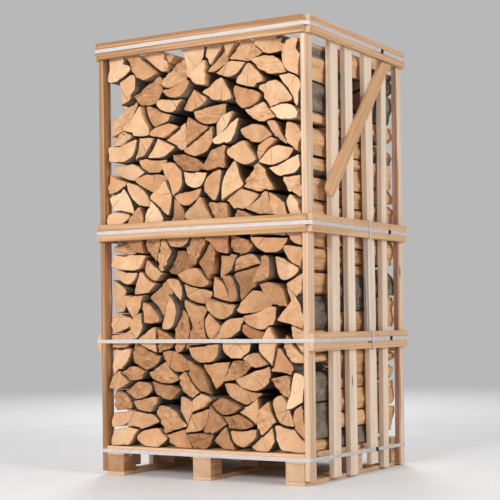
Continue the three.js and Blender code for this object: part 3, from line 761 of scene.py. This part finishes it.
def grown(node, ends, rng, reach, gap):
    """The log ends of a row, grown into the space between them, so that the logs lie as close as
    in a real stack: (points, bark flags, pith, outer Y). Each log grows by up to a reach, and
    stops at a gap before its neighbours, both in ranges of millimetres."""
    ANGLES = 84
    TO_SIDE = 30 * MM  # how much further the logs at the left reach towards the crate's side
    TO_TOP = 36 * MM  # and the topmost logs towards the top rail
    RISE = 15 * MM  # how far the crowns of the topmost logs may stand out of the pile
    TOP_DROP, SIDE_DROP = 17 * MM, 12 * MM  # most that a crown falls away from its highest point
    STEP = 0.9 * MM
    DEEPEST = 22 * MM  # most that an outline given is cut back
    SINK = (0, 7)  # millimetres that a log lies below the top or the side of the pile
    FEWER_BARKED = 0.15  # share of the logs that were split from the middle of the trunk
    BARE_AT_SIDE = 0.6  # share of the logs at the sides of the pile that show no bark
    low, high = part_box(node)
    ends = [LogEnd(widened(outline, low), y) for outline, y in ends]
    logs = []
    for end in ends:
        corner_x, corner_z = (end.outline - end.centre).T
        even = np.linspace(-math.pi, math.pi, ANGLES, endpoint=False)
        angles = np.sort(np.concatenate([even, np.arctan2(corner_z, corner_x)]))
        ways = np.column_stack([np.cos(angles), np.sin(angles)])
        facing = ways @ end.normals.T
        room = -end.beyond(end.centre) / np.maximum(facing, 1e-4)
        start = np.where(facing > 1e-4, room, np.inf).min(1)
        most, clear = rng.uniform(*reach) * MM, rng.uniform(*gap) * MM
        uneven = 0.7 + 0.3 * np.sin(angles * rng.randint(2, 4) + rng.uniform(0, 6.3))
        steps = np.arange(-DEEPEST, 2.2 * most + TO_SIDE, STEP)
        places = end.centre + ways[:, None] * (start[:, None] + steps)[:, :, None]
        x, z = places[..., 0], places[..., 1]

        own = end.beyond(places).max(-1)
        further = np.where(x < HOLE_RIGHT, TO_SIDE, 0) + np.where(z > pile_top(x) - TO_TOP, TO_TOP, 0)
        free = own <= (most * uneven)[:, None] + further
        for other in ends:
            if other is not end and other.is_near(end):
                free &= own + clear <= other.beyond(places).max(-1)
        crown, is_round = crowned(rng)
        sink = rng.uniform(*SINK) * MM
        shift = rng.uniform(-0.3, 0.3) * (end.high - end.low)
        top = pile_top(x) + RISE - sink - np.minimum(TOP_DROP, crown(x - end.centre[0] - shift[0]))
        inwards = sink + np.minimum(SIDE_DROP, crown(z - end.centre[1] - shift[1]))
        left, right = low.x + inwards, high.x - inwards
        free &= (x > left) & (x < right) & (z > DECK_TOP + 1 * MM) & (z < top)
        if node != "logs_rear_row":
            free &= ~((x < HOLE_RIGHT) & (z > HOLE_BOTTOM) & (z < HOLE_TOP))

        first = np.where(free.all(1), len(steps), np.argmin(free, 1))
        last = np.maximum(first - 1, 0)
        points = end.centre + ways * (start + steps[last])[:, None]
        is_bare = rng.random() < (BARE_AT_SIDE if abs(end.centre[0]) > PILE_SIDE else FEWER_BARKED)
        at = np.arange(len(angles)), last
        from_crown = np.minimum(np.minimum(top - z, x - left), right - x)[at]
        on_bark = np.where(from_crown < 3 * STEP, is_round, end.flags[end.beyond(points).argmax(1)])
        logs.append((*spaced(points, on_bark & (not is_bare)), end.pith, end.y))
    return logs


def waves(rng, amount):
    """Uneven ridges around and along a log, from 0 to about 1: (distance around, distance
    along) to height."""
    LENGTHS_AROUND = ((55, 90), (22, 40), (11, 18))  # from one ridge to the next, in millimetres
    LENGTH_ALONG = (180, 420)
    terms = [
        (
            rng.uniform(0.5, 1), 2 * math.pi / rng.uniform(*lengths) / MM, rng.uniform(0, 6.3),
            2 * math.pi / rng.uniform(*LENGTH_ALONG) / MM, rng.uniform(0, 6.3), rng.uniform(0.3, 1.4),
        )
        for lengths in LENGTHS_AROUND[:amount]
    ]

    def height(around, along):
        total = sum(
            size * (0.5 + 0.5 * np.sin(around * pitch + phase + drift * np.sin(along * slow + lag)))
            for size, pitch, phase, slow, lag, drift in terms
        )
        return total / sum(term[0] for term in terms)
    return height


def log_faces():
    """Faces between the rings of a log's points, and for each the point of the outline that it
    starts at, or -1 on the ends."""
    inner_end = len(STATIONS) - 1
    first_cap = len(STATIONS)
    last_cap = first_cap + 1 + len(CAP_SHARES)
    bands = [(ring, ring + 1, True) for ring in range(inner_end)]
    bands.append((first_cap, 0, False))
    bands += [(ring + 1, ring, False) for ring in range(first_cap, last_cap)]
    faces, sides = [], []
    for outer, inner, is_side in bands:
        for j in range(AROUND):
            k = (j + 1) % AROUND
            corners = (outer, j), (inner, j), (inner, k), (outer, k)
            faces.append(tuple(ring * AROUND + point for ring, point in corners))
            sides.append(j if is_side else -1)
    middle = (last_cap + 1) * AROUND
    for j in range(AROUND):
        k = (j + 1) % AROUND
        faces.append((middle, last_cap * AROUND + j, last_cap * AROUND + k))
        faces.append((middle + 1, inner_end * AROUND + k, inner_end * AROUND + j))
        sides += [-1, -1]
    return faces, np.array(sides)


LOG_FACES, LOG_SIDES = log_faces()


def make_log(points, on_bark, pith, outer_y, inner_y, rng):
    """One split log: its vertices, the material index of each face, whether its end is torn, and
    its point attributes."""
    END_CHAMFER = 0.9 * MM
    RIM = 3.0 * MM
    RIDGES = 4.2 * MM
    LUMPS = 1.8 * MM
    TORN_SHARE = 0.26 if points[:, 1].mean() < LOWER_BAYS else 0.12  # the other ends are sawn clean
    TORN_DEPTH, SAWN_DEPTH = (12, 22), (1, 3)  # millimetres
    SLOPE, STEEPEST = 0.14, 0.32  # of the cuts
    PROUD = 1.5 * MM  # how far the foremost fibres of an end stand out of its place
    PAINTED_RIM_SHADE = 0.42  # how dark the painted shade at the rim of an end is where it has no bark, as in the gaps between logs
    DARK_FROM = 55 * MM  # depth behind the outer end at which the painted shade on the faces inside the stack is darkest
    DARKEST = 0.85
    SIDE_LIT, TOP_LIT, LIT_EDGE = 0.48, 45 * MM, 30 * MM  # where the side and top of the pile lie open to the light, so the painted shade fades out
    normals = right_of(np.roll(points, -1, 0) - np.roll(points, 1, 0))
    around = np.cumsum(np.hypot(*(points - np.roll(points, 1, 0)).T))
    centre = points.mean(0)
    outward = math.copysign(1, outer_y - inner_y)
    slope = np.clip([rng.gauss(0, SLOPE), rng.gauss(0, SLOPE)], -STEEPEST, STEEPEST)
    ridges, lumps = waves(rng, 3), waves(rng, 2)
    is_torn = rng.random() < TORN_SHARE
    tear_seed = Vector((rng.uniform(-9, 9), rng.uniform(-9, 9), 0))
    tear = rng.uniform(*(TORN_DEPTH if is_torn else SAWN_DEPTH)) * MM
    lean = ((points - centre) @ slope).max()

    def outer_end(flat):
        """Y of the end at each point: a sloping cut, rough or torn, that reaches outer_y."""
        cut = (flat - centre) @ slope - lean
        rough = [noise.noise(Vector((x * 30, z * 55, 0)) + tear_seed) for x, z in flat]
        rough = np.clip(0.5 + 1.1 * np.array(rough), 0, 1)
        y = outer_y + outward * (cut - tear * rough + PROUD)
        return np.clip(y, -FURTHEST, FURTHEST)

    def pulled_in(flat, distance):
        spoke = flat - centre
        reach = np.hypot(*spoke.T)[:, None]
        return centre + spoke * np.maximum(0.2, 1 - distance / reach)

    rings = []
    for share in STATIONS:
        depth = share * abs(inner_y - outer_y)
        dent = np.where(on_bark, LUMPS * lumps(around, depth), RIDGES * ridges(around, depth))
        flat = points - normals * dent[:, None]
        if share == 0:
            rim_flat = flat
            end = outer_end(pulled_in(flat, END_CHAMFER)) - outward * END_CHAMFER
        rings.append(np.column_stack([flat[:, 0], end + (inner_y - end) * share, flat[:, 1]]))
    flats = [pulled_in(rim_flat, END_CHAMFER), pulled_in(rim_flat, RIM)]
    flats += [centre + (rim_flat - centre) * share for share in CAP_SHARES] + [centre[None]]
    for flat in flats:
        rings.append(np.column_stack([flat[:, 0], outer_end(flat), flat[:, 1]]))
    rings.append(np.array([[centre[0], inner_y, centre[1]]]))
    verts = np.concatenate(rings)

    # Painted shade inside the stack: darker with depth behind the outer end, fading out at the pile's
    # open side and top.
    x, y, z = verts.T
    bared = np.maximum(np.abs(x) - SIDE_LIT, z - pile_top(x) + TOP_LIT)
    depth = np.abs(y - outer_y)
    inside = DARKEST * np.clip(depth / DARK_FROM, 0.0, 1.0) * np.clip(1 - bared / LIT_EDGE, 0, 1)
    # Rim darkening: full on bark, which is its own colour; partial on bare edges, which is painted shade
    # of the gaps.
    rim = np.zeros(len(verts))
    edge = len(STATIONS) * AROUND
    rim[:AROUND] = rim[edge:edge + AROUND] = np.where(on_bark, 1.0, PAINTED_RIM_SHADE)
    grain = np.column_stack([x - pith[0], y, z - pith[1]])
    side = np.where((on_bark & np.roll(on_bark, -1))[LOG_SIDES], BARK, SPLIT)
    indices = np.where(LOG_SIDES < 0, TORN if is_torn else SAWN, side)
    return verts, indices, is_torn, {"grain": grain, "rim": rim, "inside": inside}


SPLINTER_FACES = ((0, 1, 3), (1, 2, 3), (2, 0, 3), (0, 2, 1))


def splinters(verts, outward, rng):
    """Thin splinters on a torn end: vertices, four to a splinter, and faces."""
    ring = verts[(len(STATIONS) + 1) * AROUND:(len(STATIONS) + 2) * AROUND]
    place = rng.randrange(AROUND)
    made = []
    for _ in range(rng.randint(20, 40)):
        root = ring[(place + round(rng.gauss(0, 4))) % AROUND]
        root = root + (ring.mean(0) - root) * rng.uniform(0, 0.6)
        room = FURTHEST - abs(root[1])
        tip = root + np.array([rng.gauss(0, 2.5), 0, rng.gauss(0, 2.5)]) * MM
        tip[1] += outward * min(room, rng.uniform(4, 15) * MM)
        turn = rng.uniform(0, 6.3)
        wide = np.array([math.cos(turn), 0, math.sin(turn)]) * rng.uniform(1.2, 3) * MM
        thin = np.array([-math.sin(turn), 0, math.cos(turn)]) * rng.uniform(0.5, 1) * MM
        sunk = root - np.array([0, outward * 3 * MM, 0])
        made += [sunk - wide, sunk + wide, sunk + thin * 2, tip]
    faces = [tuple(k + v for v in face) for k in range(0, len(made), 4) for face in SPLINTER_FACES]
    return np.array(made), faces


def make_row(node, logs, seed):
    """A row of logs as one mesh. logs are (points, bark flags, pith, outer Y, inner Y)."""
    DARKER_BELOW, PALER_AT_SIDE = 0.28, 0.5  # changes of tone
    DARKEST = 1.1
    ROOM_FOR_SPLINTERS = 0.49  # torn ends within this distance in front or at the rear have them
    rng = random.Random(seed)
    row = Joined()
    for points, on_bark, pith, outer_y, inner_y in logs:
        log, indices, is_torn, values = make_log(points, on_bark, pith, outer_y, inner_y, rng)
        x, z = points.mean(0)
        darker = DARKER_BELOW * (z < LOWER_BAYS) - PALER_AT_SIDE * (abs(x) > PILE_SIDE)
        tone = min(DARKEST, rng.betavariate(1.5, 1.6) + darker), rng.random(), rng.random(), 1
        outward = math.copysign(1, outer_y - inner_y)
        parts = [(log, LOG_FACES, indices, values)]
        if is_torn and abs(outer_y) < ROOM_FOR_SPLINTERS:
            blades, faces = splinters(log, outward, rng)
            bare = np.zeros(len(blades))
            grain = values["grain"][:1] + (blades - log[:1])
            parts.append((blades, faces, TORN, {"grain": grain, "rim": bare, "inside": bare}))
        for verts, faces, indices, values in parts:
            faces = [face[::-1] for face in faces] if outward > 0 else faces
            row.add(verts, faces, indices, tone=np.tile(tone, (len(verts), 1)), **values)
    row.make(node.replace("_row", "_split"), BEECH, node, "firewood")


def make_firewood():
    """The three rows. The middle row is the front row's ends, mirrored and grown together."""
    REACH, HIDDEN_REACH = (3, 16), (30, 45)
    APART, HIDDEN_APART = (3.4, 7.4), (1.0, 2.0)
    GAP = 9 * MM  # most between two rows
    rng = random.Random(5)
    front_ends = end_outlines("logs_front_row", -1)
    front = grown("logs_front_row", front_ends, rng, REACH, APART)
    rear = grown("logs_rear_row", end_outlines("logs_rear_row", 1), rng, REACH, APART)
    hidden = grown("logs_front_row", front_ends, rng, HIDDEN_REACH, HIDDEN_APART)
    make_row("logs_front_row", [(*log, -ROW_PARTING - GAP * rng.random()) for log in front], 21)
    make_row("logs_rear_row", [(*log, ROW_PARTING + GAP * rng.random()) for log in rear], 22)
    inner = ROW_PARTING - 2 * MM
    middle = []
    for points, on_bark, pith, _ in hidden:
        ends = -inner + GAP * rng.random(), inner - GAP * rng.random()
        middle.append((points[::-1] * (-1, 1), on_bark[::-1], pith * (-1, 1), *ends))
    make_row("logs_middle_row", middle, 23)


# Strapping

STRAP_WIDTH = 17 * MM
STRAP_THICKNESS = 0.9 * MM
TURN_IN = 2.5 * MM  # before a corner, where the strap starts to turn
STRAP_STEP = 22 * MM
RIGHT, UP = (1.0, 0.0, 0.0), (0.0, 0.0, 1.0)


def skin(count, sides, closed):
    """Faces of a tube of count rings, with its ends covered unless it is closed to a loop."""
    faces = []
    for i in range(count if closed else count - 1):
        here, there = i * sides, ((i + 1) % count) * sides
        for j in range(sides):
            k = (j + 1) % sides
            faces.append((here + j, here + k, there + k, there + j))
    if not closed:
        faces.append(tuple(range(sides))[::-1])
        faces.append(tuple(range((count - 1) * sides, count * sides)))
    return faces


def swept(path, across, outward, section, closed):
    """Vertices and faces of a section drawn along a path. The section's two directions are given
    at each point of the path, or once for all of it."""
    across, outward = (np.broadcast_to(way, path.shape)[:, None] for way in (across, outward))
    a, b = np.array(section).T[:, :, None]
    verts = path[:, None] + a * across + b * outward
    return verts.reshape(-1, 3), skin(len(path), len(section), closed)


def ribbon(path, across, outward, width=STRAP_WIDTH, closed=True):
    """Vertices, faces and grain of a strap along a path, flat across one direction."""
    BEVEL = 0.4 * MM
    half, deep = width / 2, STRAP_THICKNESS / 2
    side = [(half - BEVEL, -deep), (half, -deep / 2), (half, deep / 2), (half - BEVEL, deep)]
    side.append((half * 0.3, deep * 1.1))
    section = side + [(-a, b) for a, b in side[::-1]]
    steps = np.linalg.norm(np.diff(path, axis=0), axis=1)
    reached = np.concatenate([[0.0], np.cumsum(steps)])
    grain = np.array([(along, a, b) for along in reached for a, b in section])
    return *swept(path, across, outward, section, closed), grain


def convex_hull(points):
    """Corners of a flat convex hull, anticlockwise."""
    def half(run):
        kept = []
        for x, y in run:
            while len(kept) > 1:
                (x0, y0), (x1, y1) = kept[-2:]
                if (x1 - x0) * (y - y0) - (y1 - y0) * (x - x0) > 1e-9:
                    break
                kept.pop()
            kept.append((x, y))
        return kept[:-1]
    points = sorted(set(map(tuple, np.round(points, 5))))
    return np.array(half(points) + half(points[::-1]))


def loop_path(corners, turn_in, step):
    """A closed path around corners, each cut by turn_in, with a point about every step, and the
    outward direction at each point."""
    places = []
    for i, corner in enumerate(corners):
        before, after = corners[i - 1], corners[(i + 1) % len(corners)]
        arms = [(other - corner) / np.hypot(*(other - corner)) * turn_in for other in (before, after)]
        for t in np.linspace(0, 1, 5):
            places.append(corner + arms[0] * (1 - t) ** 2 + arms[1] * t ** 2)
        run = (after + (corner - after) / np.hypot(*(corner - after)) * turn_in) - places[-1]
        parts = max(1, round(np.hypot(*run) / step))
        start = places[-1]
        places += [start + run * j / parts for j in range(1, parts)]
    places = np.array(places)
    return places, right_of(np.roll(places, -1, 0) - np.roll(places, 1, 0))


def strap_loop(node, flat):
    """A strap's vertices, the corners of its middle line as seen along one axis, the loop around
    them, and the directions out of the loop."""
    verts = np.array([vert.co for vert in nodes[node].data.vertices])
    corners = convex_hull(np.delete(verts, flat, 1))
    corners -= np.sign(corners - corners.mean(0)) * STRAP_THICKNESS / 2
    loop, outward = loop_path(corners, TURN_IN, STRAP_STEP)
    return verts, corners, loop, np.insert(outward, flat, 0, 1)


def make_strap(level):
    """A strap around the crate, with its doubled ends either side of the buckle."""
    WANDER = 0.9 * MM
    LAP_WIDTH = 0.97 * STRAP_WIDTH
    LAP_HIGHER = 0.4 * MM
    UNDER_BUCKLE = 3 * MM
    BULGE, BULGE_AT, BULGE_SPREAD = 2.6 * MM, 14 * MM, 8 * MM  # of a lap, beside the buckle
    CURL = 0.6 * MM  # of a lap's free end
    node = f"strap_{level}"
    rng = random.Random(node)
    verts, corners, loop, outward = strap_loop(node, 2)
    y, z = verts[:, 1], verts[:, 2]
    rear_z = z[y > y.max() - 1 * MM].mean()
    front_z = z[y < y.min() + 1 * MM].mean()
    fall = (rear_z - front_z) / (y.max() - y.min())
    phases = [rng.uniform(0, 6.3) for _ in range(3)]

    def height(x, y):
        wander = sum(math.sin(k * math.atan2(y, x) + phases[k - 1]) / k for k in (1, 2, 3))
        return (front_z + rear_z) / 2 + fall * y + WANDER * wander
    parts = [ribbon(np.array([(x, y, height(x, y)) for x, y in loop]), UP, outward)]

    low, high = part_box(f"buckle_{level}")
    buckle_y = (low.y + high.y) / 2
    half_buckle = (high.y - low.y) / 2
    face = corners[:, 0].max()
    for side in (-1, 1):
        length = rng.uniform(48, 80) * MM
        reach = np.linspace(0, length, 22)
        bulge = BULGE * np.exp(-((reach - BULGE_AT) / BULGE_SPREAD) ** 2)
        lift = STRAP_THICKNESS * 1.15 + bulge + CURL * (reach / length) ** 2
        y = buckle_y + side * (half_buckle - UNDER_BUCKLE + reach)
        lap = np.column_stack([face + lift, y, [height(face, v) + LAP_HIGHER for v in y]])
        parts.append(ribbon(lap[::side], UP, RIGHT, LAP_WIDTH, closed=False))
    strap = Joined()
    for verts, faces, grain in parts:
        strap.add(verts, faces, grain=grain + (rng.uniform(0, 9), 0, 0))
    strap.make(f"webbing_{level}", [STRAPPING], node, "strapping")
    make_buckle(level, height(face, buckle_y))


def make_tie():
    """The short strap around the right middle and lower rails."""
    BEND, BENDS = 1.2 * MM, 17  # of its two long sides: how far it bends, and radians a metre
    node = "strap_tie_right"
    verts, _, loop, outward = strap_loop(node, 1)
    y, z = verts[:, 1], verts[:, 2]
    top, bottom = z > z.max() - 2 * MM, z < z.min() + 2 * MM
    lean = (y[top].mean() - y[bottom].mean()) / (z.max() - z.min())
    middle_y, middle_z = (y.max() + y.min()) / 2, (z.max() + z.min()) / 2
    x, z = loop.T
    path = np.column_stack([x, middle_y + lean * (z - middle_z) + BEND * np.sin(z * BENDS), z])
    across = Vector((0.0, -1.0, lean)).normalized()
    verts, faces, grain = ribbon(path, across, outward)
    make_piece("webbing_tie", verts, faces, [STRAPPING], 0, node, "strapping", grain=grain)


def wire(path, radius, closed):
    """Vertices and faces of a round wire along a path in a plane across X."""
    SIDES = 8
    path = np.array(path)
    ahead = np.roll(path, -1, 0) - np.roll(path, 1, 0) if closed else np.gradient(path, axis=0)
    ahead /= np.linalg.norm(ahead, axis=1)[:, None]
    angles = np.linspace(0, 2 * math.pi, SIDES, endpoint=False)
    section = radius * np.column_stack([np.cos(angles), np.sin(angles)])
    return swept(path, RIGHT, np.cross(ahead, RIGHT), section, closed)


def make_buckle(level, z):
    """A bent wire buckle: an outer loop, and the turns of wire inside it that grip the strap."""
    WIRE = 1.5 * MM  # its radius
    BARS = np.arange(-7.4, 7.5, 2.96) * MM
    node = f"buckle_{level}"
    low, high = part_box(node)
    x, y = (low.x + high.x) / 2, (low.y + high.y) / 2
    half_y, half_z = (high.y - low.y) / 2 - WIRE, (high.z - low.z) / 2 - WIRE
    corners = np.array([(-half_y, -half_z), (half_y, -half_z), (half_y, half_z), (-half_y, half_z)])
    flat, _ = loop_path(corners, 4 * MM, 4 * MM)
    buckle = Joined()
    buckle.add(*wire([(x, y + a, z + b) for a, b in flat], WIRE, True))
    for bar in BARS:
        buckle.add(*wire([(x, y + bar, z + b) for b in np.linspace(-half_z, half_z, 6)], WIRE, False))
    buckle.make(f"wire_{node}", [BUCKLE_WIRE], node, "buckle")


# Nails

def nail_places():
    """Where nails are driven: (place on the surface, direction out of it)."""
    FOOT = (58 * MM, 128 * MM)  # heights of the nails at the foot of a post or slat
    FROM_EDGE = 13 * MM  # from a post's outer side, at the ends of the front and rear rails
    WIDEST = 16 * MM  # most that a rail's nails lie to either side of the middle of a post or slat
    rng = random.Random(8)
    places = []
    for side, sign in (("left", -1), ("right", 1)):
        names = f"post_front_{side}", f"post_rear_{side}", *(f"slat_{side}_{i}" for i in range(1, 5))
        spans = [((low.y + high.y) / 2, (high.y - low.y) / 2) for low, high in map(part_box, names)]
        for rail in ("top", "middle", "lower"):
            low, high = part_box(f"rail_{rail}_{side}")
            for middle, half in spans:
                for step in (-1, 1):
                    z = (low.z + high.z) / 2 + step * rng.uniform(14, 24) * MM
                    y = middle + step * min(half, WIDEST) * rng.uniform(0.4, 0.9)
                    places.append(((sign * RAIL_OUTER, y, z), (sign, 0, 0)))
        for middle, _ in spans:
            for height in FOOT:
                y = middle + rng.uniform(-10, 10) * MM
                z = height + rng.uniform(-8, 8) * MM
                places.append(((sign * POST_OUTER, y, z), (sign, 0, 0)))
    for end, sign in (("front", -1), ("rear", 1)):
        for rail in ("top", "middle"):
            low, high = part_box(f"rail_{rail}_{end}")
            y = sign * max(abs(low.y), abs(high.y))
            for x_sign in (-1, 1):
                for step in (-1, 1):
                    x = x_sign * (POST_OUTER - FROM_EDGE + step * rng.uniform(2, 7) * MM)
                    z = (low.z + high.z) / 2 + step * rng.uniform(20, 28) * MM
                    places.append(((x, y, z), (0, sign, 0)))
    return places


def make_nails():
    """Nail heads that stand out of the wood a little, each with a shallow dimple."""
    HEAD = 3.2 * MM
    PROUD = 0.35 * MM
    SIDES = 12
    RINGS = ((HEAD, -1 * MM), (HEAD, PROUD * 0.4), (HEAD * 0.86, PROUD), (HEAD * 0.4, PROUD * 0.7))
    angles = [2 * math.pi * j / SIDES for j in range(SIDES)]
    faces = skin(len(RINGS), SIDES, False)
    nails = Joined()
    for place, direction in nail_places():
        place, direction = Vector(place), Vector(direction)
        turn = direction.to_track_quat("Z", "Y").to_matrix()
        verts = [
            place + turn @ Vector((radius * math.cos(angle), radius * math.sin(angle), height))
            for radius, height in RINGS for angle in angles
        ]
        nails.add(verts, faces)
    nails.make("nail_heads", [NAIL_STEEL])


make_boards()
make_firewood()
for level in ("top", "middle", "lower", "bottom"):
    make_strap(level)
make_tie()
make_nails()


# Studio

def make_floor():
    FLOOR_RADIUS = 60
    BELOW = 0.4 * MM
    mesh = bpy.data.meshes.new("studio_floor")
    bm = bmesh.new()
    bmesh.ops.create_circle(bm, cap_ends=True, radius=FLOOR_RADIUS, segments=96)
    bm.to_mesh(mesh)
    bm.free()
    mesh.materials.append(studio_floor())
    floor = placed("studio_floor", mesh)
    floor.location.z = -BELOW
    floor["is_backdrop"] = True


def make_light(name, place, size, power):
    CENTRE = (0, 0, 1.1)
    light = bpy.data.lights.new(name, "AREA")
    light.shape = "DISK"
    light.size = size
    light.energy = power
    lamp = placed(name, light)
    lamp.location = place
    lamp.rotation_mode = "QUATERNION"
    lamp.rotation_quaternion = (Vector(place) - Vector(CENTRE)).to_track_quat("Z", "Y")


def make_camera():
    """The photograph's own view: place, turn, tilt, roll, lens and shift."""
    PLACE = (3.2482, -5.5104, 0.7112)
    YAW, PITCH, ROLL = (math.radians(angle) for angle in (30.486, 0.271, -0.659))
    LENS = 94.36
    SHIFT = (-0.0129, 0.1344)
    data = bpy.data.cameras.new("photo_view")
    data.sensor_width = 36
    data.lens = LENS
    data.shift_x, data.shift_y = SHIFT
    camera = placed("photo_view", data)
    view = Matrix.Translation(PLACE)
    for angle, axis in ((YAW, "Z"), (math.pi / 2 + PITCH, "X"), (ROLL, "Z")):
        view @= Matrix.Rotation(angle, 4, axis)
    camera.matrix_world = view
    bpy.context.scene.camera = camera


make_floor()
world = bpy.data.worlds.new("studio")
world.use_nodes = True
world.node_tree.nodes["Background"].inputs["Color"].default_value = BACKDROP
bpy.context.scene.world = world
bpy.context.scene.view_settings.view_transform = "Standard"
make_light("key", (0.4, -6.9, 2.9), 1.5, 345)
make_light("side", (6.5, -1.5, 3.0), 2.0, 170)
make_light("back", (-3.5, 6.0, 4.5), 3.0, 220)
make_camera()

boxes = {"cad": cad_box, "visual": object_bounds()}
{key: [list(corner) for corner in box] for key, box in boxes.items()}
